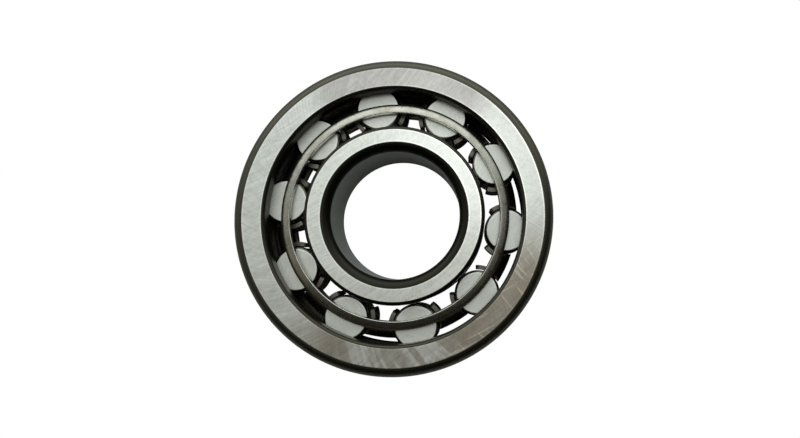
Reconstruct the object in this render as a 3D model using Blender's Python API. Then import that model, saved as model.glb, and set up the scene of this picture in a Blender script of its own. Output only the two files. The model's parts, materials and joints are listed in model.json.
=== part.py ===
"""Single-row cylindrical roller bearing with a plain, removable inner ring.

The bearing lies flat: its axis is +Z, the origin is the centre of the bore on the lower
face, and all sizes are in metres. It is made of an outer ring with two fixed flanges, a
plain inner ring, a one-piece pressed-steel cage and a set of short rollers.
"""

import math

import bmesh
import bpy

MM = 0.001

# Rings
WIDTH = 17.0 * MM
OUTER_RADIUS = 31.0 * MM
OUTER_CORNER = 1.95 * MM
FLANGE_BORE_RADIUS = 24.85 * MM
LOWER_FLANGE_BORE_RADIUS = 25.5 * MM
FLANGE_CORNER = 0.7 * MM
FLANGE_WIDTH = 3.4 * MM
OUTER_RACEWAY_RADIUS = 26.5 * MM
INNER_RACEWAY_RADIUS = 17.5 * MM
INNER_RACEWAY_CORNER = 0.75 * MM
BORE_RADIUS = 12.5 * MM
BORE_CORNER = 1.9 * MM
RING_SEGMENTS = 72

# Rollers
ROLLER_COUNT = 10
PITCH_RADIUS = 22.0 * MM
ROLLER_RADIUS = 4.42 * MM
ROLLER_LENGTH = 10.0 * MM
ROLLER_CORNER = 0.6 * MM
ROLLER_SEGMENTS = 24
FIRST_ROLLER_ANGLE = math.radians(28.7)

# Cage: a drawn sheet, described by its middle surface
SHEET = 0.8 * MM
SHELL_RADIUS = 23.6 * MM
SHOULDER_RADIUS = 6.0 * MM
SHOULDER_HEIGHT = 9.77 * MM
SHOULDER_ANGLE = math.radians(40.0)
ROOF_RADIUS = 4.02 * MM
UPPER_EDGE_ANGLE = math.radians(70.0)
UPPER_WINDOW_ANGLE = math.radians(48.0)
LOWER_BEND_RADIUS = 1.6 * MM
LOWER_BEND_HEIGHT = 4.1 * MM
LOWER_WINDOW_ANGLE = math.radians(-50.0)
LOWER_EDGE_RADIUS = 22.0 * MM

# Cage bars: each is folded inwards beside its two rollers and ends in two ears
POCKET_RADIUS = 5.08 * MM
EAR_STEPS = 4
EAR_TIP_ANGLE = math.radians(47.0)
EAR_TOP = 12.26 * MM
EAR_BOTTOM = 5.2 * MM

PITCH_STEP = math.tau / ROLLER_COUNT
WELD = 0.00001 * MM


def clear_scene():
    """Remove every object of the open file."""
    for item in list(bpy.data.objects):
        bpy.data.objects.remove(item, do_unlink=True)


def steel(name, colour, roughness):
    """A bare metal material with one colour and one roughness."""
    material = bpy.data.materials.new(name)
    material.use_nodes = True
    shader = material.node_tree.nodes["Principled BSDF"]
    shader.inputs["Base Color"].default_value = (*colour, 1.0)
    shader.inputs["Metallic"].default_value = 1.0
    shader.inputs["Roughness"].default_value = roughness
    material.diffuse_color = (*colour, 1.0)
    return material


def add_object(name, mesh, material):
    """Link a mesh to the scene as a named object with its own material."""
    item = bpy.data.objects.new(name, mesh)
    bpy.context.scene.collection.objects.link(item)
    if not mesh.materials:
        mesh.materials.append(material)
    return item


def corner(centre, radius, start, end, steps=3):
    """Points of a round corner in the (radius, height) plane, angles in degrees."""
    angles = [math.radians(start + (end - start) * i / steps) for i in range(steps + 1)]
    return [(centre[0] + radius * math.cos(a), centre[1] + radius * math.sin(a)) for a in angles]


def turned_mesh(name, outline, segments, closed):
    """Spin an outline of (radius, height) points about Z into a closed body."""
    bm = bmesh.new()
    verts = [bm.verts.new((radius, 0.0, height)) for radius, height in outline]
    pairs = list(zip(verts, verts[1:]))
    if closed:
        pairs.append((verts[-1], verts[0]))
    edges = [bm.edges.new(pair) for pair in pairs]
    bmesh.ops.spin(bm, geom=verts + edges, cent=(0, 0, 0), axis=(0, 0, 1),
                   angle=math.tau, steps=segments, use_merge=True)
    bmesh.ops.remove_doubles(bm, verts=bm.verts, dist=WELD)
    bmesh.ops.recalc_face_normals(bm, faces=bm.faces)
    mesh = bpy.data.meshes.new(name)
    bm.to_mesh(mesh)
    bm.free()
    mesh.shade_smooth()
    mesh.set_sharp_from_angle(angle=math.radians(30.0))
    return mesh


def outer_ring():
    """Ring with round outer corners and a raceway sunk between two fixed flanges."""
    top = WIDTH
    outside = OUTER_RADIUS - OUTER_CORNER
    upper = FLANGE_BORE_RADIUS + FLANGE_CORNER
    lower = LOWER_FLANGE_BORE_RADIUS + FLANGE_CORNER
    outline = corner((outside, top - OUTER_CORNER), OUTER_CORNER, 90, 0)
    outline += corner((outside, OUTER_CORNER), OUTER_CORNER, 0, -90)
    outline += corner((lower, FLANGE_CORNER), FLANGE_CORNER, -90, -180, steps=2)
    outline += [(LOWER_FLANGE_BORE_RADIUS, FLANGE_WIDTH)]
    outline += [(OUTER_RACEWAY_RADIUS, FLANGE_WIDTH), (OUTER_RACEWAY_RADIUS, top - FLANGE_WIDTH)]
    outline += [(FLANGE_BORE_RADIUS, top - FLANGE_WIDTH)]
    outline += corner((upper, top - FLANGE_CORNER), FLANGE_CORNER, 180, 90, steps=2)
    mesh = turned_mesh("outer_ring", outline, RING_SEGMENTS, closed=True)
    add_object("outer_ring", mesh, steel("outer_ring_steel", (0.62, 0.64, 0.62), 0.32))


def inner_ring():
    """Plain ring: no flanges, so it can be drawn out of the rollers along the axis."""
    top = WIDTH
    outside = INNER_RACEWAY_RADIUS - INNER_RACEWAY_CORNER
    inside = BORE_RADIUS + BORE_CORNER
    outline = corner((outside, top - INNER_RACEWAY_CORNER), INNER_RACEWAY_CORNER, 90, 0, steps=2)
    outline += corner((outside, INNER_RACEWAY_CORNER), INNER_RACEWAY_CORNER, 0, -90, steps=2)
    outline += corner((inside, BORE_CORNER), BORE_CORNER, -90, -180)
    outline += corner((inside, top - BORE_CORNER), BORE_CORNER, 180, 90)
    mesh = turned_mesh("inner_ring", outline, RING_SEGMENTS, closed=True)
    add_object("inner_ring", mesh, steel("inner_ring_steel", (0.66, 0.68, 0.66), 0.28))


def rollers():
    """Short rollers on the pitch circle, each with its origin on its own axis."""
    half = ROLLER_LENGTH / 2
    flat = ROLLER_RADIUS - ROLLER_CORNER
    outline = [(0.0, half)]
    outline += corner((flat, half - ROLLER_CORNER), ROLLER_CORNER, 90, 0, steps=2)
    outline += corner((flat, ROLLER_CORNER - half), ROLLER_CORNER, 0, -90, steps=2)
    outline += [(0.0, -half)]
    mesh = turned_mesh("roller", outline, ROLLER_SEGMENTS, closed=False)
    material = steel("roller_steel", (0.72, 0.73, 0.72), 0.22)
    for number in range(ROLLER_COUNT):
        angle = FIRST_ROLLER_ANGLE + number * PITCH_STEP
        roller = add_object(f"roller_{number + 1:02d}", mesh, material)
        x, y = PITCH_RADIUS * math.cos(angle), PITCH_RADIUS * math.sin(angle)
        roller.location = (x, y, WIDTH / 2)
        roller.rotation_euler = (0.0, 0.0, angle)


def cage_rows():
    """Profile of the cage from its upper edge to its lower edge.

    Each row is (radius, height, part). part is rim where the sheet runs all the way round,
    bar where only the bars are left, and ear where the bars carry their ears.
    """

    def bend(radius, height, angle):
        """Point of a bend whose centre lies a radius inside the shell."""
        centre = SHELL_RADIUS - radius
        return centre + radius * math.cos(angle), height + radius * math.sin(angle)

    def shoulder(angle):
        return bend(SHOULDER_RADIUS, SHOULDER_HEIGHT, angle)

    def roof(angle):
        """Point of the tighter bend that carries the shoulder on to the upper edge."""
        radius, height = shoulder(SHOULDER_ANGLE)
        radius += ROOF_RADIUS * (math.cos(angle) - math.cos(SHOULDER_ANGLE))
        height += ROOF_RADIUS * (math.sin(angle) - math.sin(SHOULDER_ANGLE))
        return radius, height

    def lower_bend(angle):
        return bend(LOWER_BEND_RADIUS, LOWER_BEND_HEIGHT, angle)

    ear_angle = math.asin((EAR_TOP - SHOULDER_HEIGHT) / SHOULDER_RADIUS)
    rows = [(*roof(UPPER_EDGE_ANGLE), "rim")]
    rows += [(*roof((UPPER_EDGE_ANGLE + UPPER_WINDOW_ANGLE) / 2), "rim")]
    rows += [(*roof(UPPER_WINDOW_ANGLE), "rim")]
    rows += [(*shoulder(SHOULDER_ANGLE), "bar")]
    rows += [(*shoulder(ear_angle), "ear")]
    rows += [(*shoulder(ear_angle / 2), "ear")]
    rows += [(*shoulder(0.0), "ear")]
    rows += [(SHELL_RADIUS, EAR_BOTTOM, "ear")]
    rows += [(SHELL_RADIUS, LOWER_BEND_HEIGHT, "bar")]
    rows += [(*lower_bend(LOWER_WINDOW_ANGLE), "rim")]
    rows += [(*lower_bend(-math.pi / 2), "rim")]
    rows += [(LOWER_EDGE_RADIUS, LOWER_BEND_HEIGHT - LOWER_BEND_RADIUS, "rim")]
    return rows


def bar_section(radius):
    """Half section of a bar, from its middle to the tip of its ear.

    The x axis runs outwards through the middle of the bar. The sheet follows the shell up
    to a fold and then keeps its distance from the neighbouring roller. Returns the points
    of the bar and the points of the ear.
    """
    half_step = PITCH_STEP / 2
    cosine = (radius ** 2 + PITCH_RADIUS ** 2 - POCKET_RADIUS ** 2) / (2 * PITCH_RADIUS * radius)
    fold = half_step - math.acos(cosine)
    bar = [(radius * math.cos(a), radius * math.sin(a)) for a in (0.0, fold / 2, fold)]
    roller_x, roller_y = PITCH_RADIUS * math.cos(half_step), PITCH_RADIUS * math.sin(half_step)
    ear_start = math.atan2(bar[-1][1] - roller_y, bar[-1][0] - roller_x)
    ear_end = half_step - math.pi / 2 - EAR_TIP_ANGLE
    ear = []
    for step in range(1, EAR_STEPS + 1):
        angle = ear_start + (ear_end - ear_start) * step / EAR_STEPS
        x = roller_x + POCKET_RADIUS * math.cos(angle)
        y = roller_y + POCKET_RADIUS * math.sin(angle)
        ear.append((x, y))
    return bar, ear


def cage_sheet():
    """Middle surface of the whole cage as one open sheet of quads."""
    bm = bmesh.new()

    def vertex(point, height, turn):
        x = point[0] * math.cos(turn) - point[1] * math.sin(turn)
        y = point[0] * math.sin(turn) + point[1] * math.cos(turn)
        return bm.verts.new((x, y, height))

    def strip(upper, lower):
        for a, b, c, d in zip(upper, upper[1:], lower[1:], lower):
            bm.faces.new((d, c, b, a))

    bars, ears, joins = [], [], []
    for radius, height, part in cage_rows():
        bar, ear = bar_section(radius)
        last = math.atan2(bar[-1][1], bar[-1][0])
        between = (last + PITCH_STEP / 2) / 2
        bars.append([])
        ears.append([])
        joins.append([])
        for number in range(ROLLER_COUNT):
            turn = FIRST_ROLLER_ANGLE + (number + 0.5) * PITCH_STEP
            left = [(x, -y) for x, y in reversed(bar[1:])]
            bars[-1].append([vertex(point, height, turn) for point in left + bar])
            if part == "ear":
                tips = [[vertex((x, side * y), height, turn) for x, y in ear] for side in (-1, 1)]
                ears[-1].append(tips)
            if part == "rim":
                angles = (between, PITCH_STEP / 2, PITCH_STEP - between)
                spots = [(radius * math.cos(a), radius * math.sin(a)) for a in angles]
                joins[-1].append([vertex(spot, height, turn) for spot in spots])
    for row in range(len(bars) - 1):
        for number in range(ROLLER_COUNT):
            upper, lower = bars[row][number], bars[row + 1][number]
            strip(upper, lower)
            if ears[row] and ears[row + 1]:
                (left_up, right_up), (left_low, right_low) = ears[row][number], ears[row + 1][number]
                strip(left_up[::-1] + upper[:1], left_low[::-1] + lower[:1])
                strip(upper[-1:] + right_up, lower[-1:] + right_low)
            if joins[row] and joins[row + 1]:
                after = (number + 1) % ROLLER_COUNT
                upper = upper[-1:] + joins[row][number] + bars[row][after][:1]
                lower = lower[-1:] + joins[row + 1][number] + bars[row + 1][after][:1]
                strip(upper, lower)
    mesh = bpy.data.meshes.new("cage")
    bm.to_mesh(mesh)
    bm.free()
    return mesh


def cage():
    """Pressed cage: the middle surface thickened to the sheet's gauge."""
    mesh = cage_sheet()
    item = add_object("cage", mesh, steel("cage_steel", (0.34, 0.33, 0.28), 0.38))
    gauge = item.modifiers.new("gauge", "SOLIDIFY")
    gauge.thickness = SHEET
    gauge.offset = 0.0
    gauge.use_even_offset = True


def main():
    clear_scene()
    outer_ring()
    inner_ring()
    rollers()
    cage()


main()
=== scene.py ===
"""Cylindrical roller bearing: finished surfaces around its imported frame.

The rings are turned from outlines, the rollers are turned and set on their axes, and the
cage is pressed from one sheet. Sizes are in metres, colours are linear.
"""

import json
import math

import bmesh
import bpy
from bpy.props import FloatProperty, FloatVectorProperty, IntProperty, PointerProperty
from mathutils import Matrix, Vector

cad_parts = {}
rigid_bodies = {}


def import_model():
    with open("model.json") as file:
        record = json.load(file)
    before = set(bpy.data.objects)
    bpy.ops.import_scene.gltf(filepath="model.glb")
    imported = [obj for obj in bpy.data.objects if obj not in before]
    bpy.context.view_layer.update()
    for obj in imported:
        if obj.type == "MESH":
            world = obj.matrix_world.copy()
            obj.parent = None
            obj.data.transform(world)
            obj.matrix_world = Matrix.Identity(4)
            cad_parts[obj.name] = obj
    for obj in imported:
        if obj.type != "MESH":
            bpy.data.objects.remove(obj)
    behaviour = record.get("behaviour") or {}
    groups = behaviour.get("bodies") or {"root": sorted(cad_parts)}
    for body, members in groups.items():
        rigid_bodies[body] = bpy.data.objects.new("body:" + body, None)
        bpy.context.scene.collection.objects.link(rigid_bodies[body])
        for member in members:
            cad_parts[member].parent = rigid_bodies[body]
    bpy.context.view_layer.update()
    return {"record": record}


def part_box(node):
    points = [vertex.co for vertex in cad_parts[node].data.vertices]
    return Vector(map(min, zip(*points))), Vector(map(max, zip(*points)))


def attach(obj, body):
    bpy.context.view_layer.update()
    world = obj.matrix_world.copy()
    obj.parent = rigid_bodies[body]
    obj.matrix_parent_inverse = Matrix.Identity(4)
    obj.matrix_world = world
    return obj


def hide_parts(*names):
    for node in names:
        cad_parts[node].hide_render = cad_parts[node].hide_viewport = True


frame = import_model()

bl_info = {
    "name": "Cylindrical roller bearing",
    "version": (1, 0, 0),
    "blender": (4, 5, 0),
    "location": "3D View > Sidebar > Bearing",
    "description": "Makes the rings, rollers and cage of a roller bearing, and a stage for it",
    "category": "Mesh",
}

MM = 0.001
UM = 0.000001

# Sizes that the frame gives
OUTER_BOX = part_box("outer_ring")
INNER_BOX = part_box("inner_ring")
CAGE_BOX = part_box("cage")
ROLLER_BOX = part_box("roller_01")
WIDTH = OUTER_BOX[1].z
MIDDLE = WIDTH / 2
OUTER_RADIUS = OUTER_BOX[1].x
INNER_RACEWAY_RADIUS = INNER_BOX[1].x
ROLLER_LENGTH = ROLLER_BOX[1].z - ROLLER_BOX[0].z
ROLLER_JOINTS = [joint for joint in frame["record"]["behaviour"]["joints"] if joint["parent"] == "cage"]
ROLLER_COUNT = len(ROLLER_JOINTS)
PITCH_STEP = math.tau / ROLLER_COUNT
PITCH_RADIUS = math.hypot(*ROLLER_JOINTS[0]["pos_m"][:2])
FIRST_ROLLER_ANGLE = math.atan2(ROLLER_JOINTS[0]["pos_m"][1], ROLLER_JOINTS[0]["pos_m"][0])


def length(name, description, default, **more):
    """A size in metres that a user can change."""
    return FloatProperty(name=name, description=description, default=default, unit="LENGTH",
                         subtype="DISTANCE", precision=5, min=0.0, **more)


def colour(name, description, default):
    """A linear colour that a user can change."""
    return FloatVectorProperty(name=name, description=description, default=default,
                               subtype="COLOR", size=3, min=0.0, max=1.0)


def ratio(name, description, default, high=1.0):
    """A plain number that a user can change."""
    return FloatProperty(name=name, description=description, default=default, min=0.0, max=high,
                         subtype="FACTOR" if high == 1.0 else "NONE")


class RingSettings(bpy.types.PropertyGroup):
    """Sizes of the two rings."""

    segments: IntProperty(name="Segments", description="Steps round each ring", default=288, min=32)
    outer_corner: length("Outer corner", "Round corner between face and outside", 1.95 * MM)
    flange_bore: length("Flange bore radius", "Radius inside the two flanges", 24.85 * MM)
    lower_flange_bore: length("Lower flange bore radius", "Radius inside the lower flange", 25.5 * MM)
    flange_corner: length("Flange corner", "Round corner of each flange's bore", 0.7 * MM)
    flange_width: length("Flange width", "Width of each flange", 3.4 * MM)
    outer_raceway: length("Outer raceway radius", "Radius of the raceway between the flanges", 26.5 * MM)
    relief: length("Relief", "Width and depth of the groove in each raceway corner", 0.3 * MM)
    raceway_corner: length("Inner raceway corner", "Round corner of the inner ring's raceway", 0.75 * MM)
    bore: length("Bore radius", "Radius of the shaft's bore", 12.5 * MM)
    bore_corner: length("Bore corner", "Round corner at each end of the bore", 1.9 * MM)


class RollerSettings(bpy.types.PropertyGroup):
    """Sizes of the rollers."""

    segments: IntProperty(name="Segments", description="Steps round each roller", default=128, min=16)
    radius: length("Radius", "Radius of a roller", 4.44 * MM)
    corner: length("Corner", "Round corner at each end", 0.6 * MM)


class CageSettings(bpy.types.PropertyGroup):
    """Sizes of the pressed cage, on the middle surface of its sheet."""

    sheet: length("Sheet", "Thickness of the sheet", 0.8 * MM)
    edge_break: length("Edge break", "Rounding of the upper rim's sheared edge", 0.34 * MM)
    shell: length("Shell radius", "Radius of the bars", 23.6 * MM)
    shoulder: length("Shoulder radius", "Wide bend at the top of the bars", 6.0 * MM)
    roof: length("Roof radius", "Tighter bend from the shoulder to the rim's crest", 1.3 * MM)
    crest: length("Crest length", "Shallow cone from the roof bend to the upper edge", 1.12 * MM)
    lower_bend: length("Lower bend radius", "Bend between the bars and the lower rim", 1.6 * MM)
    lower_edge: length("Lower rim radius", "Inner radius of the lower rim", 22.0 * MM)
    pocket: length("Pocket radius", "Distance of the folded sheet from a roller's axis", 5.08 * MM)
    window_corner: length("Window corner", "Round corner of each window", 1.3 * MM)
    ear_corner: length("Ear corner", "Round corner of each ear", 0.7 * MM)
    ear_top: length("Ear top", "Height of the ears' upper ends", 12.26 * MM)
    ear_bottom: length("Ear bottom", "Height of the ears' lower ends", 5.2 * MM)


class FinishSettings(bpy.types.PropertyGroup):
    """Colours of the bearing's finishes."""

    ground: colour("Ground steel", "Ground faces and rollers", (0.84, 0.87, 0.83))
    stain: colour("Stain", "Film that dulls the ground faces in patches", (0.40, 0.36, 0.30))
    corner: colour("Turned corner", "Unground corners of the rings", (0.085, 0.08, 0.058))
    # The bore's tone is darker than the other ground steel: painted shade inside the bore.
    bore: colour("Ground bore", "Wall of the bore", (0.36, 0.38, 0.36))
    pressed: colour("Pressed steel", "Bright crest of the cage's rim", (0.47, 0.46, 0.41))
    # The cage's dark tone is partly a dull film and partly painted shade on the bars between the rollers.
    film_and_shade: colour("Cage film", "Dark film on the rest of the cage", (0.19, 0.18, 0.155))


class StageSettings(bpy.types.PropertyGroup):
    """Light, floor and camera."""

    floor: colour("Floor", "Pale floor", (0.86, 0.86, 0.86))
    key: ratio("Key light", "Power of the overhead light, in watts", 0.1, high=100.0)
    fill: ratio("Fill light", "Strength of the surrounding light", 1.0, high=10.0)


def settings():
    """The settings of the current scene."""
    return bpy.context.scene.bearing


# Node trees


class Tree:
    """Builds nodes in a shader or geometry tree."""

    def __init__(self, nodes_tree):
        self.tree = nodes_tree
        self.column = 0

    def node(self, kind, options=None, **values):
        """Add one node, set its options, then set or link its sockets by identifier."""
        made = self.tree.nodes.new(kind)
        self.column += 1
        made.location = (self.column * 180, 0)
        for name, value in (options or {}).items():
            setattr(made, name, value)
        for name, value in values.items():
            self.connect(value, self.socket(made.inputs, name))
        return made

    @staticmethod
    def socket(sockets, name):
        """Find a socket by identifier, or by name, with spaces written as underscores."""
        for socket in sockets:
            if socket.identifier.replace(" ", "_") == name:
                return socket
        for socket in sockets:
            if socket.name.replace(" ", "_") == name and socket.enabled:
                return socket
        raise KeyError(f"no socket {name} among {[s.identifier for s in sockets]}")

    def connect(self, value, socket):
        """Link an output, or set a plain value."""
        if isinstance(value, Value):
            value = value.output
        if isinstance(value, bpy.types.NodeSocket):
            self.tree.links.new(value, socket)
        else:
            socket.default_value = value

    def value(self, node, output=0):
        """Wrap one output of a node for arithmetic."""
        return Value(self, node.outputs[output])


class Value:
    """A number in a tree. Arithmetic on it adds Math nodes."""

    def __init__(self, tree, output):
        self.tree = tree
        self.output = output

    def maths(self, operation, *others, first=None):
        """Add a Math node with this value as its first input, unless first is given."""
        inputs = [self, *others] if first is None else [first, self, *others]
        made = self.tree.node("ShaderNodeMath", {"operation": operation})
        for value, socket in zip(inputs, made.inputs):
            self.tree.connect(value, socket)
        return self.tree.value(made)

    def __add__(self, other):
        return self.maths("ADD", other)

    __radd__ = __add__

    def __sub__(self, other):
        return self.maths("SUBTRACT", other)

    def __rsub__(self, other):
        return self.maths("SUBTRACT", first=other)

    def __mul__(self, other):
        return self.maths("MULTIPLY", other)

    __rmul__ = __mul__

    def __truediv__(self, other):
        return self.maths("DIVIDE", other)

    def __pow__(self, other):
        return self.maths("POWER", other)

    def __abs__(self):
        return self.maths("ABSOLUTE")

    def step(self, low, high):
        """0 below low, 1 above high, smooth between. low may be the larger."""
        made = self.tree.node("ShaderNodeMapRange", {"interpolation_type": "SMOOTHSTEP"},
                              Value=self, From_Min=low, From_Max=high)
        return self.tree.value(made)


class Finish(Tree):
    """A steel finish: a Principled shader fed by values worked out on the surface."""

    def __init__(self, name):
        self.material = bpy.data.materials.new(name)
        self.material.use_nodes = True
        super().__init__(self.material.node_tree)
        self.shader = self.tree.nodes["Principled BSDF"]

    def place(self, attribute=None):
        """Object coordinates, or a stored attribute, as a vector and its three parts."""
        if attribute:
            source = self.node("ShaderNodeAttribute", {"attribute_name": attribute}).outputs["Vector"]
        else:
            source = self.node("ShaderNodeTexCoord").outputs["Object"]
        parts = self.node("ShaderNodeSeparateXYZ", Vector=source)
        return source, [self.value(parts, i) for i in range(3)]

    def vector(self, x, y, z):
        """A vector made of three values."""
        return self.node("ShaderNodeCombineXYZ", X=x, Y=y, Z=z).outputs[0]

    def noise(self, vector, scale=1.0, detail=2.0, rough=0.5):
        """Noise from 0 to 1 on a vector."""
        made = self.node("ShaderNodeTexNoise", Vector=vector, Scale=scale, Detail=detail, Roughness=rough)
        return self.value(made)

    def mix(self, factor, first, second):
        """Blend two colours."""
        made = self.node("ShaderNodeMix", {"data_type": "RGBA"}, Factor_Float=factor,
                         A_Color=self.tone(first), B_Color=self.tone(second))
        return self.socket(made.outputs, "Result_Color")

    def scale_tone(self, tone, amount):
        """Multiply a colour by a number."""
        made = self.node("ShaderNodeVectorMath", {"operation": "SCALE"}, Vector=tone, Scale=amount)
        return made.outputs["Vector"]

    @staticmethod
    def tone(value):
        """A colour with its alpha, or a link left as it is."""
        return value if isinstance(value, bpy.types.NodeSocket) else (*value, 1.0)

    def bump(self, height, distance):
        """Feed a height to the shader's normal."""
        made = self.node("ShaderNodeBump", Height=height, Distance=distance)
        self.connect(made.outputs[0], self.shader.inputs["Normal"])

    def finish(self, base, roughness):
        """Feed the shader of a bare metal and return the material."""
        self.connect(self.tone(base), self.shader.inputs["Base Color"])
        self.connect(roughness, self.shader.inputs["Roughness"])
        self.connect(1.0, self.shader.inputs["Metallic"])
        return self.material

    def arcs(self, x, y, centre, across, along, detail=3.0):
        """Fine streaks along circles round a far centre, as a grinding wheel leaves them."""
        dx, dy = x - centre[0], y - centre[1]
        distance = (dx * dx + dy * dy) ** 0.5
        turn = dy.maths("ARCTAN2", dx) * math.hypot(*centre)
        return self.noise(self.vector(distance * across, turn * along, 0.0), detail=detail, rough=0.65)


PER_MM = 1 / MM
DEGREES = math.degrees(1.0)
SOFT = 0.05 * MM  # width of the change from one surface to the next

# Grinding marks of the flat faces
STREAK_LEAN = 1.3 * PER_MM  # slant of the streaks, in degrees for each metre of radius
ALONG_ARC = 0.1 * PER_MM  # how often a long arc breaks
LONG_WHEEL = (-60 * MM, 75 * MM)  # centre of the long arcs that cross a ring's face
ROLLER_WHEEL = (-30 * MM, 18 * MM)  # centre of the arcs on a roller's end

# Rubs on the outer ring's face: centre of the arcs, fineness, and noise that shows as a rub
RUBS = (
    ((60 * MM, 20 * MM), 1.5 * PER_MM, (0.60, 0.68)),
    ((-30 * MM, 70 * MM), 1.3 * PER_MM, (0.61, 0.69)),
)

# Sectors of a ring's face: middle in degrees, half widths in radians at nothing and in full
# The film sector lays the dull film thickest on the front of the face, where it is partly painted shade:
# the dark reflection of the front.
FILM_AND_SHADE_SECTOR = (-68.0, 1.25, 0.75)
FAN_SECTOR = (-88.0, 0.5, 0.22)
RUB_SECTOR = (-42.0, 0.62, 0.35)
SHADE_SECTOR = (30.0, 1.0, 0.45)
# Greyer tone towards the top of the face.
TOP_GREY_SECTOR = (88.0, 0.75, 0.5)

# Tones of surfaces and patches
TOP_GREY_TONE = (0.56, 0.54, 0.53)
OXIDE_TONE = (0.05, 0.05, 0.045)
OUTSIDE_TONE = (0.72, 0.74, 0.72)
RACEWAY_TONE = (0.75, 0.76, 0.75)
# The flange bore's tone is partly dark turned steel and partly painted shade beside the rollers.
FLANGE_BORE_SHADE_TONE = (0.085, 0.075, 0.055)
ROLLER_SIDE_TONE = (0.74, 0.75, 0.74)
ROLLER_CORNER_TONE = (0.10, 0.10, 0.09)
CREST_PATCH_TONE = (0.26, 0.24, 0.18)
# Bare steel of the sheared edge, painted brighter as a highlight.
BARE_EDGE_HIGHLIGHT_TONE = (0.84, 0.85, 0.80)

# Zones of the cage, each from nothing to full
RIM_HEIGHTS = (13.2 * MM, 13.8 * MM)
CREST_RADII = (22.5 * MM, 22.15 * MM)
# Painted shade on the rim's outer slope.
SLOPE_SHADE_RADII = (21.5 * MM, 22.2 * MM)
# Painted shade on the bars' shoulders below the rim.
FOLD_SHADE_HEIGHTS = (11.0 * MM, 11.8 * MM)
FOLD_SHADE_RADII = (22.3 * MM, 22.8 * MM)
RIM_EDGE_LIMIT = 20.68 * MM  # the upper rim's sheared edge lies inside this radius


def sector(angle, middle, none, full):
    """1 in a sector of a face, 0 well outside it."""
    return abs(angle - math.radians(middle)).step(none, full)


def ground_streaks(finish, x, y, radius, angle):
    """Grinding marks of a flat face, as tones round 0: slanting arcs crossed by long arcs."""
    lean = radius * STREAK_LEAN
    turn = angle * DEGREES
    slant = finish.vector((turn + lean) * 1.5, radius * (0.12 * PER_MM), 0.0)
    counter = finish.vector((turn - lean) * 1.2, radius * (0.14 * PER_MM), 3.0)
    fine = finish.noise(slant, detail=4.0, rough=0.6)
    cross = finish.noise(counter, detail=3.0, rough=0.6)
    long = finish.arcs(x, y, LONG_WHEEL, 1.7 * PER_MM, ALONG_ARC)
    return fine * 0.45 + cross * 0.25 + long * 0.5 - 0.6


def ring_finish(name, zones):
    """Steel of a ring: ground faces, dark turned corners and its own round surfaces.

    zones gives the radii of the ground face's edges, how strong its dull film is, which is partly
    painted shade, how strong its fan of wheel marks, its rubs, its painted shade sector and its greying
    towards the top are, how bright the corners are, and a function that gives the round surfaces.
    """
    tones = settings().finish
    steel = Finish(name)
    source, (x, y, z) = steel.place()
    radius = (x * x + y * y) ** 0.5
    angle = y.maths("ARCTAN2", x)
    from_middle = abs(z - MIDDLE)
    inner_edge, outer_edge = zones["face"]
    marks = zones["marks"]
    face = from_middle.step(MIDDLE - 6 * UM, MIDDLE - 2 * UM)

    streaks = ground_streaks(steel, x, y, radius, angle)
    patches = steel.noise(source, scale=0.11 * PER_MM, detail=3.0)
    mottle = steel.noise(source, scale=1.1 * PER_MM, detail=3.0, rough=0.6)
    grain = steel.noise(source, scale=3.0 * PER_MM)
    turned = steel.noise(steel.vector(radius * (4.0 * PER_MM), angle * 0.8, z * (4.0 * PER_MM)))

    # Dull film in patches, thickest on the front sector, where it is partly painted shade standing in for
    # the dark reflection of the front.
    film_and_shade = sector(angle, *FILM_AND_SHADE_SECTOR) * zones["film_and_shade"] * (0.62 + patches * 0.7)
    fan_place = (angle * DEGREES - radius * STREAK_LEAN) * 0.34
    fan = steel.noise(steel.vector(fan_place, radius * (0.1 * PER_MM), 0.0), detail=1.0).step(0.42, 0.6)
    film_and_shade = film_and_shade * (1 - sector(angle, *FAN_SECTOR) * marks * (0.3 + fan * 0.65))
    first, second = (
        steel.arcs(x, y, centre, across, ALONG_ARC, detail=1.0).step(*limits)
        for centre, across, limits in RUBS
    )
    rubs = (first + second) * (sector(angle, *RUB_SECTOR) * marks)
    dimming = sector(angle, *SHADE_SECTOR) * marks * 0.15
    # Greyer tone towards the top of the face.
    top_grey = sector(angle, *TOP_GREY_SECTOR) * marks * (0.7 + patches * 0.4)

    # Painted highlight: a thin band just inside each edge of the ground face is made brighter, and a little
    # smoother.
    edge_highlight = radius.step(inner_edge + 0.22 * MM, inner_edge + 0.05 * MM)
    edge_highlight = edge_highlight + radius.step(outer_edge - 0.22 * MM, outer_edge - 0.05 * MM)
    ground = steel.mix(film_and_shade, steel.mix(top_grey, tones.ground, TOP_GREY_TONE), tones.stain)
    strength = 1.0 + streaks * 1.3 + (mottle - 0.5) * 0.35 + edge_highlight * 0.16 + rubs * 0.5 - dimming
    ground = steel.scale_tone(ground, strength * (1.0 - marks * 0.06))
    # Painted shade: the turned corners are darker towards the inner edge of the face.
    inner_corner_shade = radius.step(outer_edge - 1.0 * MM, inner_edge + 1.0 * MM)
    corner = steel.mix(patches, tones.corner, OXIDE_TONE)
    corner = steel.scale_tone(corner, (0.5 + turned) * (1 - inner_corner_shade * 0.35) * zones["corner"])
    base = steel.mix(face, corner, ground)
    rough_face = 0.30 + streaks * 0.3 + film_and_shade * 0.06 + patches * 0.05 - edge_highlight * 0.08
    rough = face * rough_face + (1 - face) * (0.30 + turned * 0.18)
    for mask, tone, roughness in zones["round"](radius, from_middle):
        base = steel.mix(mask * (1 - face), base, steel.scale_tone(tone, 0.82 + turned * 0.36))
        rough = rough * (1 - mask) + mask * (roughness + turned * 0.12)
    height = face * (streaks * 1.5 + mottle * 0.3) + (1 - face) * turned * 0.8
    steel.bump(height + grain * 0.25 + rubs * 0.5, 2.2 * UM)
    return steel.finish(base, rough)


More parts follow.
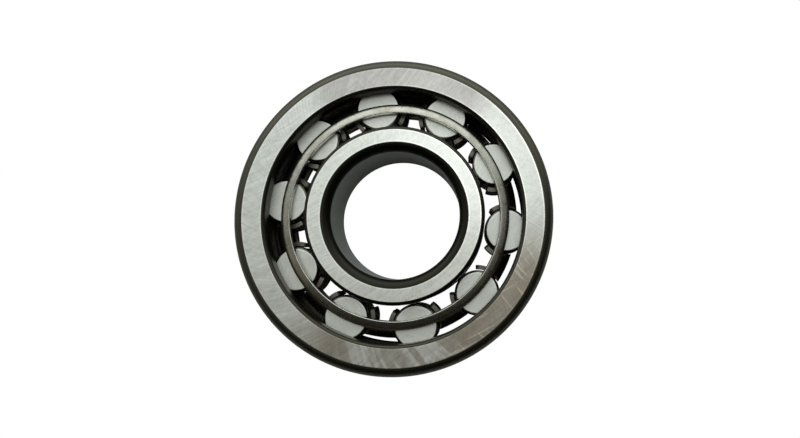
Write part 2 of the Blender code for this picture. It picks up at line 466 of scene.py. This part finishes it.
def outer_ring_zones():
    """Zones of the outer ring. Its round surfaces are masks with a tone and a roughness."""
    rings = settings().rings
    flange = MIDDLE - rings.flange_width

    def round_surfaces(radius, from_middle):
        outside = radius.step(OUTER_RADIUS - SOFT, OUTER_RADIUS - SOFT * 0.3)
        raceway = radius.step(rings.outer_raceway - SOFT * 2, rings.outer_raceway - SOFT)
        raceway = raceway * radius.step(rings.outer_raceway + SOFT * 2, rings.outer_raceway + SOFT)
        raceway = raceway * from_middle.step(flange, flange - SOFT)
        # The flange bore: dark turned steel, partly painted shade.
        bore = radius.step(rings.flange_bore + 0.12 * MM, rings.flange_bore + SOFT)
        return [(outside, OUTSIDE_TONE, 0.16), (raceway, RACEWAY_TONE, 0.1), (bore, FLANGE_BORE_SHADE_TONE, 0.36)]

    face = (rings.flange_bore + rings.flange_corner, OUTER_RADIUS - rings.outer_corner)
    return {"face": face, "film_and_shade": 1.0, "marks": 1.0, "corner": 1.15, "round": round_surfaces}


def inner_ring_zones():
    """Zones of the inner ring. Its round surfaces are masks with a tone and a roughness."""
    rings = settings().rings

    def round_surfaces(radius, _from_middle):
        raceway = radius.step(INNER_RACEWAY_RADIUS - SOFT, INNER_RACEWAY_RADIUS - SOFT * 0.3)
        bore = radius.step(rings.bore + SOFT, rings.bore + SOFT * 0.3)
        # Painted shade: the bore's wall is darker than the other ground steel.
        return [(raceway, RACEWAY_TONE, 0.1), (bore, settings().finish.bore, 0.3)]

    face = (rings.bore + rings.bore_corner, INNER_RACEWAY_RADIUS - rings.raceway_corner)
    return {"face": face, "film_and_shade": 0.15, "marks": 0.0, "corner": 0.6, "round": round_surfaces}


def roller_finish():
    """Steel of the rollers: matt ground ends, bright round sides and dark corners."""
    tones = settings().finish
    sizes = settings().rollers
    steel = Finish("roller_steel")
    source, (x, y, z) = steel.place("own_place")
    radius = (x * x + y * y) ** 0.5
    angle = y.maths("ARCTAN2", x)
    half = ROLLER_LENGTH / 2
    end = abs(z).step(half - 0.03 * MM, half - 0.008 * MM)
    side = radius.step(sizes.radius - 0.04 * MM, sizes.radius - 0.01 * MM)
    streaks = steel.arcs(x, y, ROLLER_WHEEL, 2.6 * PER_MM, 0.3 * PER_MM)
    speck = steel.noise(source, scale=2.4 * PER_MM, detail=3.0)
    cloud = steel.noise(source, scale=0.5 * PER_MM)
    rim = radius.step(sizes.radius - sizes.corner - 0.3 * MM, sizes.radius - sizes.corner - 0.05 * MM)
    lines = steel.noise(steel.vector(z * (7.0 * PER_MM), angle * 0.7, 0.0))
    ends = steel.scale_tone(steel.mix(cloud * 0.3, tones.ground, tones.stain),
                            0.72 + streaks * 0.4 + speck * 0.3 + rim * 0.08)
    sides = steel.scale_tone(ROLLER_SIDE_TONE, 0.9 + lines * 0.2)
    base = steel.mix(end, steel.mix(side, ROLLER_CORNER_TONE, sides), ends)
    rough = end * (0.36 + speck * 0.2) + (1 - end) * (0.14 + lines * 0.1)
    steel.bump(end * (streaks * 0.8 + speck * 0.6) + (1 - end) * lines * 0.3, 2.5 * UM)
    return steel.finish(base, rough)


def cage_finish():
    """Pressed sheet steel under a dark film that is partly painted shade, worn bright on the rim's crest,
    bare and painted brighter as a highlight on its edge.
    """
    tones = settings().finish
    steel = Finish("cage_steel")
    source, (x, y, z) = steel.place()
    radius = (x * x + y * y) ** 0.5
    speck = steel.noise(source, scale=3.2 * PER_MM, detail=3.0, rough=0.6)
    cloud = steel.noise(source, scale=0.45 * PER_MM, detail=3.0)
    grain = steel.noise(source, scale=1.4 * PER_MM)
    rim = z.step(*RIM_HEIGHTS)
    edge = rim * radius.step(RIM_EDGE_LIMIT, RIM_EDGE_LIMIT - 0.1 * MM)
    crest = rim * radius.step(*CREST_RADII)
    # Painted shade: the bars' shoulders below the rim are darker still.
    fold = z.step(*FOLD_SHADE_HEIGHTS) * radius.step(*FOLD_SHADE_RADII)
    # Dull film, partly painted shade on the bars between the rollers.
    dark_film_and_shade = steel.scale_tone(tones.film_and_shade, (0.6 + speck * 0.8) * (1 - fold * 0.65))
    bright = steel.mix(cloud.step(0.42, 0.68) * 0.5, tones.pressed, CREST_PATCH_TONE)
    # Painted shade: the rim's outer slope is darker than its crest.
    slope_shade = radius.step(*SLOPE_SHADE_RADII)
    bright = steel.scale_tone(bright, (0.65 + speck * 0.6 + grain * 0.3) * (1 - slope_shade * 0.6))
    base = steel.mix(crest, dark_film_and_shade, bright)
    # The sheared edge: bare steel, painted brighter as a highlight.
    base = steel.mix(edge * 0.85, base, BARE_EDGE_HIGHLIGHT_TONE)
    steel.bump(speck * 0.7 + grain, 3.0 * UM)
    return steel.finish(base, 0.3 - crest * 0.13 + speck * 0.14 + cloud * 0.08)


# Geometry trees

PATH_RADIUS = 1.0 * MM  # circle that an outline is carried round
PATTERN_TURN = 2.4  # radians from one roller's grain to the next one's


def geometry_tree(name, inputs):
    """An empty geometry tree with named inputs, and its input and output nodes."""
    tree = bpy.data.node_groups.new(name, "GeometryNodeTree")
    tree.interface.new_socket("Geometry", in_out="INPUT", socket_type="NodeSocketGeometry")
    for label, kind, default in inputs:
        socket = tree.interface.new_socket(label, in_out="INPUT", socket_type=kind)
        socket.default_value = default
    tree.interface.new_socket("Geometry", in_out="OUTPUT", socket_type="NodeSocketGeometry")
    build = Tree(tree)
    return build, build.node("NodeGroupInput").outputs


def close_tree(build, geometry, material):
    """End a tree in Realize Instances and Set Material."""
    real = build.node("GeometryNodeRealizeInstances", Geometry=geometry)
    painted = build.node("GeometryNodeSetMaterial", Geometry=real.outputs[0], Material=material)
    build.node("NodeGroupOutput", Geometry=painted.outputs[0])
    return build.tree


def turning_tree(material):
    """Turns an outline about Z, stores each point's own place, then sets the piece on its axis."""
    build, inputs = geometry_tree("turning", [
        ("Segments", "NodeSocketInt", 96),
        ("Path Radius", "NodeSocketFloat", PATH_RADIUS),
        ("Weld", "NodeSocketFloat", UM),
        ("Pattern Turn", "NodeSocketFloat", 0.0),
        ("Centre", "NodeSocketVector", (0.0, 0.0, 0.0)),
    ])
    circle = build.node("GeometryNodeCurvePrimitiveCircle", Resolution=inputs["Segments"],
                        Radius=inputs["Path Radius"])
    outline = build.node("GeometryNodeMeshToCurve", Mesh=inputs["Geometry"])
    body = build.node("GeometryNodeCurveToMesh", Curve=circle.outputs["Curve"],
                      Profile_Curve=outline.outputs[0])
    welded = build.node("GeometryNodeMergeByDistance", Geometry=body.outputs[0],
                        Distance=inputs["Weld"])
    place = build.node("GeometryNodeInputPosition")
    turned = build.node("ShaderNodeVectorRotate", {"rotation_type": "Z_AXIS"},
                        Vector=place.outputs[0], Angle=inputs["Pattern Turn"])
    stored = build.node("GeometryNodeStoreNamedAttribute", {"data_type": "FLOAT_VECTOR"},
                        Geometry=welded.outputs[0], Name="own_place", Value=turned.outputs[0])
    moved = build.node("GeometryNodeTransform", Geometry=stored.outputs[0],
                       Translation=inputs["Centre"])
    return close_tree(build, moved.outputs[0], material)


def repeating_tree(material):
    """Repeats one sector evenly round Z and welds the sectors together."""
    build, inputs = geometry_tree("sectors", [
        ("Count", "NodeSocketInt", 10),
        ("First Angle", "NodeSocketFloat", 0.0),
        ("Weld", "NodeSocketFloat", UM),
    ])
    spots = build.node("GeometryNodeMeshLine", Count=inputs["Count"], Offset=(0.0, 0.0, 0.0))
    index = build.value(build.node("GeometryNodeInputIndex"))
    count = Value(build, inputs["Count"])
    angle = index * math.tau / count + Value(build, inputs["First Angle"])
    euler = build.node("ShaderNodeCombineXYZ", Z=angle)
    turn = build.node("FunctionNodeEulerToRotation", Euler=euler.outputs[0])
    copies = build.node("GeometryNodeInstanceOnPoints", Points=spots.outputs[0],
                        Instance=inputs["Geometry"], Rotation=turn.outputs[0])
    real = build.node("GeometryNodeRealizeInstances", Geometry=copies.outputs[0])
    welded = build.node("GeometryNodeMergeByDistance", Geometry=real.outputs[0],
                        Distance=inputs["Weld"])
    return close_tree(build, welded.outputs[0], material)


def grow(name, mesh, tree, values):
    """Run a geometry tree on a mesh and return the result as a plain mesh object."""
    item = bpy.data.objects.new(name, mesh)
    bpy.context.scene.collection.objects.link(item)
    modifier = item.modifiers.new("shape", "NODES")
    modifier.node_group = tree
    for socket in tree.interface.items_tree:
        if socket.in_out == "INPUT" and socket.name in values:
            modifier[socket.identifier] = values[socket.name]
    apply_all(item)
    return item


def apply_all(item):
    """Replace an object's mesh by its evaluated one and drop its modifiers."""
    bpy.context.view_layer.update()
    depsgraph = bpy.context.evaluated_depsgraph_get()
    mesh = bpy.data.meshes.new_from_object(item.evaluated_get(depsgraph))
    item.modifiers.clear()
    item.data = mesh
    if not mesh.polygons:
        raise RuntimeError(f"{item.name} came out empty")


def shade(item, angle):
    """Smooth shading with sharp edges above an angle in degrees."""
    item.data.shade_smooth()
    item.data.set_sharp_from_angle(angle=math.radians(angle))


# Outlines

ARC_STEP = 0.16 * MM  # longest piece of a round corner
SUPPORT = 0.06 * MM  # distance of a support point from its corner


def rounded(corners, closed=True):
    """Walk corners of (radius, height, rounding), clockwise, into points with round corners.

    Each rounding has a support point beside either end, so that the flats stay flat.
    """
    points = []
    count = len(corners)
    for number, (radius, height, rounding) in enumerate(corners):
        here = Vector((radius, height))
        if not closed and number in (0, count - 1):
            points.append(here)
            continue
        before = (Vector(corners[number - 1][:2]) - here).normalized()
        after = (Vector(corners[(number + 1) % count][:2]) - here).normalized()
        half = before.angle(after) / 2
        run = rounding / math.tan(half)
        centre = here + (before + after).normalized() * rounding / math.sin(half)
        start, end = here + before * run, here + after * run
        sweep = (start - centre).angle_signed(end - centre)
        steps = max(3, round(abs(sweep) * rounding / ARC_STEP))
        support = min(SUPPORT, rounding * 0.5)
        points.append(start + before * support)
        for step in range(steps + 1):
            arm = start - centre
            turn = -sweep * step / steps
            cosine, sine = math.cos(turn), math.sin(turn)
            points.append(centre + Vector((arm.x * cosine - arm.y * sine, arm.x * sine + arm.y * cosine)))
        points.append(end + after * support)
    return points


def outline_mesh(name, points, closed=True):
    """A mesh of edges along an outline, laid out as the turning tree reads it."""
    spots = [(point.x - PATH_RADIUS, -point.y, 0.0) for point in points]
    edges = [(i, i + 1) for i in range(len(spots) - 1)]
    if closed:
        edges.append((len(spots) - 1, 0))
    mesh = bpy.data.meshes.new(name)
    mesh.from_pydata(spots, edges, [])
    return mesh


def turned_piece(name, corners, material, segments, closed=True, centre=(0.0, 0.0, 0.0), turn=0.0):
    """A turned body from its outline's corners, with its pattern turned and set on a centre."""
    mesh = outline_mesh(name, rounded(corners, closed), closed)
    values = {"Segments": segments, "Centre": centre, "Pattern Turn": turn}
    item = grow(name, mesh, turning_tree(material), values)
    shade(item, 30.0)
    return item


# Pieces

# Bends of the cage's profile, as angles from level
EDGE_ANGLE = math.radians(75.0)  # end of the roof bend, where the crest starts
BEND_ANGLE = math.radians(40.0)  # end of the shoulder, where the roof bend starts
WINDOW_ANGLE = math.radians(50.0)  # upper end of the windows, on the roof bend
LOWER_WINDOW_ANGLE = math.radians(50.0)  # lower end of the windows, on the lower bend

EAR_LEAN = math.radians(47.0)  # direction of an ear's end, past square to the roller's radius
EAR_SWEEP = math.radians(56.0)  # turn of a whole ear round its roller
EAR_ROWS = (0.06, 0.2, 0.45)  # rows in an ear's round corner, as shares of its radius
BAR_STEPS = 6
EAR_STEPS = 14
RIM_STEPS = 14
RIM_CROWDING = 1.35  # draws the rim's steps towards the bars


def outer_ring_corners():
    """Outline of the outer ring: flanges on both sides, relief grooves beside the raceway."""
    rings = settings().rings
    flange, raceway = rings.flange_bore, rings.outer_raceway
    low, high, relief = rings.flange_width, WIDTH - rings.flange_width, rings.relief
    small = 0.08 * MM
    return [
        (OUTER_RADIUS, WIDTH, rings.outer_corner),
        (OUTER_RADIUS, 0.0, rings.outer_corner),
        (rings.lower_flange_bore, 0.0, rings.flange_corner),
        (rings.lower_flange_bore, low, small * 2),
        (raceway + relief, low, small),
        (raceway + relief, low + relief, small),
        (raceway, low + relief * 2, small),
        (raceway, high - relief * 2, small),
        (raceway + relief, high - relief, small),
        (raceway + relief, high, small),
        (flange, high, small * 2),
        (flange, WIDTH, rings.flange_corner),
    ]


def inner_ring_corners():
    """Outline of the plain inner ring."""
    rings = settings().rings
    return [
        (INNER_RACEWAY_RADIUS, WIDTH, rings.raceway_corner),
        (INNER_RACEWAY_RADIUS, 0.0, rings.raceway_corner),
        (rings.bore, 0.0, rings.bore_corner),
        (rings.bore, WIDTH, rings.bore_corner),
    ]


def roller_corners():
    """Outline of a roller, open at its axis."""
    sizes = settings().rollers
    half = ROLLER_LENGTH / 2
    return [
        (0.0, half, 0.0),
        (sizes.radius, half, sizes.corner),
        (sizes.radius, -half, sizes.corner),
        (0.0, -half, 0.0),
    ]


class CageProfile:
    """The cage's profile by arc length, from the upper edge down to the lower edge."""

    def __init__(self):
        sizes = settings().cage
        half = sizes.sheet / 2
        rise = sizes.shoulder * math.sin(BEND_ANGLE)
        rise += sizes.roof * (math.sin(EDGE_ANGLE) - math.sin(BEND_ANGLE))
        rise += sizes.crest * math.cos(EDGE_ANGLE)
        shoulder_height = CAGE_BOX[1].z - rise - half * math.sin(EDGE_ANGLE)
        lower_height = CAGE_BOX[0].z + half + sizes.lower_bend
        shoulder_centre = Vector((sizes.shell - sizes.shoulder, shoulder_height))
        toward = Vector((math.cos(BEND_ANGLE), math.sin(BEND_ANGLE)))
        roof_centre = shoulder_centre + toward * (sizes.shoulder - sizes.roof)
        lower_centre = Vector((sizes.shell - sizes.lower_bend, lower_height))
        roof_end = roof_centre + sizes.roof * Vector((math.cos(EDGE_ANGLE), math.sin(EDGE_ANGLE)))
        rim_edge = roof_end + sizes.crest * Vector((-math.sin(EDGE_ANGLE), math.cos(EDGE_ANGLE)))
        self.parts = [
            self.line(rim_edge, roof_end),
            self.arc(roof_centre, sizes.roof, EDGE_ANGLE, BEND_ANGLE),
            self.arc(shoulder_centre, sizes.shoulder, BEND_ANGLE, 0.0),
            self.line((sizes.shell, shoulder_height), (sizes.shell, lower_height)),
            self.arc(lower_centre, sizes.lower_bend, 0.0, -math.pi / 2),
            self.line((lower_centre.x, CAGE_BOX[0].z + half), (sizes.lower_edge, CAGE_BOX[0].z + half)),
        ]
        starts = [sum(part[0] for part in self.parts[:i]) for i in range(len(self.parts) + 1)]
        _crest, _roof, shoulder, bar, lower_bend, _lower_rim, self.total = starts
        self.window_top = sizes.crest + sizes.roof * (EDGE_ANGLE - WINDOW_ANGLE)
        self.window_bottom = lower_bend + sizes.lower_bend * LOWER_WINDOW_ANGLE
        ear_angle = math.asin((sizes.ear_top - shoulder_height) / sizes.shoulder)
        self.ear_top = shoulder + sizes.shoulder * (BEND_ANGLE - ear_angle)
        self.ear_bottom = bar + shoulder_height - sizes.ear_bottom

    @staticmethod
    def arc(centre, radius, start, end):
        """Length of an arc, and a function from 0..1 to its point."""

        def point(share):
            angle = start + (end - start) * share
            return centre.x + radius * math.cos(angle), centre.y + radius * math.sin(angle)

        return radius * abs(end - start), point

    @staticmethod
    def line(start, end):
        """Length of a line, and a function from 0..1 to its point."""

        def point(share):
            return start[0] + (end[0] - start[0]) * share, start[1] + (end[1] - start[1]) * share

        return math.dist(start, end), point

    def point(self, distance):
        """Radius and height at an arc length."""
        for run, point in self.parts:
            if distance <= run:
                break
            distance -= run
        else:
            distance = run
        return point(min(distance / run, 1.0))


def spread(low, high, pieces):
    """Evenly spaced numbers from low to high."""
    return [low + (high - low) * i / pieces for i in range(pieces + 1)]


def corner_drop(distance, radius):
    """How far a round corner of that radius cuts in at a distance from its end."""
    if distance >= radius:
        return 0.0
    return radius - math.sqrt(max(0.0, radius ** 2 - (radius - distance) ** 2))


def bar_section(radius, ear_share):
    """Half section of a bar at one profile radius: bar points, then ear points.

    The sheet follows the shell up to a fold, then keeps its distance from the roller
    beside it. ear_share shortens the ear near its round corners.
    """
    sizes = settings().cage
    half_step = PITCH_STEP / 2
    cosine = (radius ** 2 + PITCH_RADIUS ** 2 - sizes.pocket ** 2) / (2 * PITCH_RADIUS * radius)
    fold = half_step - math.acos(cosine)
    bar = [Vector((radius * math.cos(a), radius * math.sin(a))) for a in spread(0.0, fold, BAR_STEPS)]
    roller = Vector((PITCH_RADIUS * math.cos(half_step), PITCH_RADIUS * math.sin(half_step)))
    ear_start = math.atan2(bar[-1].y - roller.y, bar[-1].x - roller.x)
    sweep = (half_step - math.pi / 2 - EAR_LEAN - ear_start) * ear_share
    ear = []
    for turn in spread(0.0, sweep, EAR_STEPS)[1:]:
        angle = ear_start + turn
        ear.append(roller + sizes.pocket * Vector((math.cos(angle), math.sin(angle))))
    return bar, ear


def cage_sector():
    """Middle surface of one bar with its two ears and its share of both rims."""
    sizes = settings().cage
    profile = CageProfile()
    top, bottom = profile.window_top, profile.window_bottom
    corner = sizes.ear_corner
    marks = spread(0.0, sizes.crest, 2)
    marks += spread(sizes.crest, top, 4)[1:]
    marks += spread(top, profile.ear_top, 8)[1:]
    marks += [profile.ear_top + corner * share for share in (*EAR_ROWS, 1.0)]
    marks += spread(profile.ear_top + corner, profile.ear_bottom - corner, 6)[1:]
    marks += [profile.ear_bottom - corner * share for share in (*reversed(EAR_ROWS), 0.0)]
    marks += spread(profile.ear_bottom, bottom, 6)[1:]
    marks += spread(bottom, profile.total, 6)[1:]

    bm = bmesh.new()
    rows = []
    for mark in marks:
        radius, height = profile.point(mark)
        near_end = min(mark - profile.ear_top, profile.ear_bottom - mark)
        has_ear = near_end > -UM
        reach = 1.0 - corner_drop(max(near_end, 0.0), corner) / (sizes.pocket * EAR_SWEEP)
        bar, ear = bar_section(radius, reach)
        row = {"bar": {}, "ear": {}, "rim": {}}
        for side in (-1, 1):
            row["bar"][side] = [bm.verts.new((p.x, side * p.y, height)) for p in bar[1:]]
            if has_ear:
                row["ear"][side] = [bm.verts.new((p.x, side * p.y, height)) for p in ear]
        row["centre"] = bm.verts.new((bar[0].x, 0.0, height))
        if mark <= top + UM or mark >= bottom - UM:
            edge = math.atan2(bar[-1].y, bar[-1].x)
            for side in (-1, 1):
                row["rim"][side] = rim_points(bm, profile, mark, edge, side)
        rows.append(row)
    for upper, lower in zip(rows, rows[1:]):
        for side in (-1, 1):
            lines = [[row["centre"]] + row["bar"][side] for row in (upper, lower)]
            join(bm, lines, side)
            if upper["ear"] and lower["ear"]:
                join(bm, [[row["bar"][side][-1]] + row["ear"][side] for row in (upper, lower)], side)
            if upper["rim"] and lower["rim"]:
                join(bm, [[row["bar"][side][-1]] + row["rim"][side] for row in (upper, lower)], side)
    mesh = bpy.data.meshes.new("cage_sector")
    bm.to_mesh(mesh)
    bm.free()
    return mesh


def rim_points(bm, profile, mark, edge, side):
    """Points of a rim from a bar's edge to the middle of the window, with round window corners."""
    corner = settings().cage.window_corner
    half_step = PITCH_STEP / 2
    upper = mark <= profile.window_top + UM
    if upper:
        share = mark / profile.window_top
    else:
        share = (profile.total - mark) / (profile.total - profile.window_bottom)
    row_radius = profile.point(mark)[0]
    points = []
    for i in range(1, RIM_STEPS + 1):
        angle = edge + (half_step - edge) * (i / RIM_STEPS) ** RIM_CROWDING
        drop = corner_drop((angle - edge) * row_radius, corner) * share
        radius, height = profile.point(mark + drop if upper else mark - drop)
        points.append(bm.verts.new((radius * math.cos(angle), side * radius * math.sin(angle), height)))
    return points


def join(bm, lines, side):
    """Faces between two lines of points, wound the same way on both sides of the bar."""
    upper, lower = lines
    for a, b, c, d in zip(upper, upper[1:], lower[1:], lower):
        bm.faces.new((a, d, c, b) if side > 0 else (a, b, c, d))


def weigh_rim(mesh):
    """Weigh the corner lines of the upper rim's sheared edge, so that only they are rounded."""
    weights = mesh.attributes.new("bevel_weight_edge", "FLOAT", "EDGE")
    for edge in mesh.edges:
        ends = [mesh.vertices[i].co for i in edge.vertices]
        radii = [math.hypot(end.x, end.y) for end in ends]
        follows_rim = abs(radii[0] - radii[1]) < SOFT
        if follows_rim and max(radii) < RIM_EDGE_LIMIT and min(end.z for end in ends) > MIDDLE:
            weights.data[edge.index].value = 1.0


def build_cage():
    """The cage: sector, ring of sectors, gauge of the sheet, rounded upper edge."""
    sizes = settings().cage
    values = {"Count": ROLLER_COUNT, "First Angle": FIRST_ROLLER_ANGLE + PITCH_STEP / 2}
    item = grow("pressed_cage", cage_sector(), repeating_tree(cage_finish()), values)
    gauge = item.modifiers.new("gauge", "SOLIDIFY")
    gauge.thickness = sizes.sheet
    gauge.offset = 0.0
    gauge.solidify_mode = "NON_MANIFOLD"
    gauge.nonmanifold_thickness_mode = "CONSTRAINTS"
    gauge.nonmanifold_boundary_mode = "NONE"
    apply_all(item)
    weigh_rim(item.data)
    broken = item.modifiers.new("edges", "BEVEL")
    broken.width = sizes.edge_break
    broken.segments = 4
    broken.limit_method = "WEIGHT"
    apply_all(item)
    shade(item, 40.0)
    return item


# Stage

FLOOR_REACH = 1.5  # metres from the middle to each side
FLOOR_GAP = 0.02 * MM
FLOOR_GLOW = 1.02  # brightness of the floor as the camera sees it
FLOOR_SHARE = 0.98  # share of that glow, the rest is the lit floor


def floor_finish():
    """Pale floor that keeps its paleness under the bearing."""
    finish = Finish("floor")
    tone = tuple(settings().stage.floor)
    finish.shader.inputs["Base Color"].default_value = (*tone, 1.0)
    finish.shader.inputs["Roughness"].default_value = 0.9
    finish.shader.inputs["Specular IOR Level"].default_value = 0.0
    glow = finish.node("ShaderNodeEmission", Color=(1.0, 1.0, 1.0, 1.0), Strength=FLOOR_GLOW)
    seen = finish.value(finish.node("ShaderNodeLightPath"))
    mix = finish.node("ShaderNodeMixShader", Fac=seen * FLOOR_SHARE)
    finish.tree.links.new(finish.shader.outputs[0], mix.inputs[1])
    finish.tree.links.new(glow.outputs[0], mix.inputs[2])
    output = finish.tree.nodes["Material Output"]
    finish.tree.links.new(mix.outputs[0], output.inputs["Surface"])
    return finish.material


def add_floor():
    """A wide floor just under the bearing."""
    bm = bmesh.new()
    bmesh.ops.create_grid(bm, x_segments=8, y_segments=8, size=FLOOR_REACH)
    bmesh.ops.translate(bm, verts=bm.verts, vec=(0.0, 0.0, -FLOOR_GAP))
    mesh = bpy.data.meshes.new("floor")
    bm.to_mesh(mesh)
    bm.free()
    mesh.materials.append(floor_finish())
    floor = bpy.data.objects.new("floor", mesh)
    bpy.context.scene.collection.objects.link(floor)


def add_light(name, place, aim, size, power, tone):
    """A square soft light at a place, aimed at a point."""
    data = bpy.data.lights.new(name, "AREA")
    data.shape = "RECTANGLE"
    data.size, data.size_y = size
    data.energy = power
    data.color = tone
    light = bpy.data.objects.new(name, data)
    bpy.context.scene.collection.objects.link(light)
    light.location = place
    light.rotation_euler = (Vector(aim) - Vector(place)).to_track_quat("-Z", "Y").to_euler()


def add_surroundings():
    """Soft light from behind, from above and a little from the left, and a dark warm front.

    The camera itself sees an even pale backdrop.
    """
    world = bpy.data.worlds.new("surroundings")
    world.use_nodes = True
    bpy.context.scene.world = world
    sky = Tree(world.node_tree)
    direction = sky.node("ShaderNodeTexCoord").outputs["Generated"]
    parts = sky.node("ShaderNodeSeparateXYZ", Vector=direction)
    x, y, z = (sky.value(parts, i) for i in range(3))
    overhead = z.step(0.80, 0.96)
    above = (0.16 + y.step(-0.16, 0.1) * 0.62) * y.step(-0.38, -0.22)
    behind = y.step(0.1, 0.75) * 1.5 + y.step(0.75, 0.95) * 0.8
    left = x.step(-0.3, -0.9) * y.step(-0.5, 0.0) * 0.45
    sides = behind + left + 0.015
    level = overhead * above + (1 - overhead) * sides
    tone = sky.node("ShaderNodeMix", {"data_type": "RGBA"}, Factor_Float=y.step(-0.3, 0.2),
                    A_Color=(1.0, 0.92, 0.78, 1.0), B_Color=(0.96, 1.0, 0.97, 1.0))
    backdrop = sky.tree.nodes["Background"]
    sky.connect(sky.socket(tone.outputs, "Result_Color"), backdrop.inputs["Color"])
    level = level * z.step(-0.05, 0.15) * settings().stage.fill
    seen = sky.value(sky.node("ShaderNodeLightPath"))
    sky.connect(level * (1 - seen) + seen, backdrop.inputs["Strength"])


def add_camera():
    """A close camera above the bearing, a little to the right and towards the front."""
    data = bpy.data.cameras.new("camera")
    data.sensor_width = 36.0
    data.lens = 32.03
    data.shift_x = -0.1354
    data.shift_y = -0.033
    data.clip_start = 0.005
    camera = bpy.data.objects.new("camera", data)
    bpy.context.scene.collection.objects.link(camera)
    camera.location = (16.18 * MM, -12.33 * MM, WIDTH + 137.8 * MM)
    aim = Vector((22.0 * MM, 4.34 * MM, WIDTH))
    back = (camera.location - aim).normalized()
    right = Vector((0.0, 1.0, 0.0)).cross(back).normalized()
    camera.rotation_euler = Matrix((right, back.cross(right), back)).transposed().to_euler()
    bpy.context.scene.camera = camera


# Operators


class BEARING_OT_outer_ring(bpy.types.Operator):
    """Turn the outer ring with its two flanges"""

    bl_idname = "bearing.outer_ring"
    bl_label = "Outer Ring"

    def execute(self, context):
        steel = ring_finish("outer_ring_steel", outer_ring_zones())
        segments = settings().rings.segments
        ring = turned_piece("turned_outer_ring", outer_ring_corners(), steel, segments)
        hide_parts("outer_ring")
        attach(ring, "outer_ring")
        return {"FINISHED"}


class BEARING_OT_inner_ring(bpy.types.Operator):
    """Turn the plain inner ring"""

    bl_idname = "bearing.inner_ring"
    bl_label = "Inner Ring"

    def execute(self, context):
        steel = ring_finish("inner_ring_steel", inner_ring_zones())
        segments = settings().rings.segments
        ring = turned_piece("turned_inner_ring", inner_ring_corners(), steel, segments)
        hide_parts("inner_ring")
        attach(ring, "inner_ring")
        return {"FINISHED"}


class BEARING_OT_rollers(bpy.types.Operator):
    """Turn every roller and set it on its axis"""

    bl_idname = "bearing.rollers"
    bl_label = "Rollers"

    def execute(self, context):
        steel = roller_finish()
        for number, joint in enumerate(ROLLER_JOINTS):
            name = joint["child"]
            centre = (joint["pos_m"][0], joint["pos_m"][1], MIDDLE)
            roller = turned_piece(f"turned_{name}", roller_corners(), steel, settings().rollers.segments,
                                  closed=False, centre=centre, turn=PATTERN_TURN * number)
            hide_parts(name)
            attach(roller, name)
        return {"FINISHED"}


class BEARING_OT_cage(bpy.types.Operator):
    """Press the cage out of one sheet"""

    bl_idname = "bearing.cage"
    bl_label = "Cage"

    def execute(self, context):
        cage = build_cage()
        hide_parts("cage")
        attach(cage, "cage")
        return {"FINISHED"}


class BEARING_OT_stage(bpy.types.Operator):
    """Add the floor, the lights and the camera"""

    bl_idname = "bearing.stage"
    bl_label = "Stage"

    def execute(self, context):
        add_floor()
        add_surroundings()
        add_light("key", place=(0.03, 0.125, 0.60), aim=(0.0, 0.0, 0.0), size=(0.15, 0.11),
                  power=settings().stage.key, tone=(1.0, 1.0, 0.98))
        add_camera()
        context.scene.view_settings.view_transform = "Standard"
        return {"FINISHED"}


class BEARING_PT_panel(bpy.types.Panel):
    """Buttons and sizes of the bearing"""

    bl_idname = "BEARING_PT_panel"
    bl_label = "Roller Bearing"
    bl_space_type = "VIEW_3D"
    bl_region_type = "UI"
    bl_category = "Bearing"

    def draw(self, context):
        for operator in OPERATORS:
            self.layout.operator(operator.bl_idname)
        for name, group in SETTINGS.items():
            box = self.layout.box()
            box.label(text=name.title())
            for item in group.__annotations__:
                box.prop(getattr(context.scene.bearing, name), item)


SETTINGS = {
    "rings": RingSettings,
    "rollers": RollerSettings,
    "cage": CageSettings,
    "finish": FinishSettings,
    "stage": StageSettings,
}
OPERATORS = (
    BEARING_OT_stage,
    BEARING_OT_outer_ring,
    BEARING_OT_inner_ring,
    BEARING_OT_rollers,
    BEARING_OT_cage,
)


class BearingSettings(bpy.types.PropertyGroup):
    """All settings of the bearing."""

    rings: PointerProperty(type=RingSettings)
    rollers: PointerProperty(type=RollerSettings)
    cage: PointerProperty(type=CageSettings)
    finish: PointerProperty(type=FinishSettings)
    stage: PointerProperty(type=StageSettings)


CLASSES = (*SETTINGS.values(), BearingSettings, *OPERATORS, BEARING_PT_panel)


def register():
    """Add the classes and the scene's settings."""
    for item in CLASSES:
        bpy.utils.register_class(item)
    bpy.types.Scene.bearing = PointerProperty(type=BearingSettings)


def unregister():
    """Remove the classes and the scene's settings."""
    del bpy.types.Scene.bearing
    for item in reversed(CLASSES):
        bpy.utils.unregister_class(item)


def main():
    """Make every piece."""
    register()
    for operator in OPERATORS:
        group, name = operator.bl_idname.split(".")
        getattr(getattr(bpy.ops, group), name)()


if __name__ == "__main__":
    main()
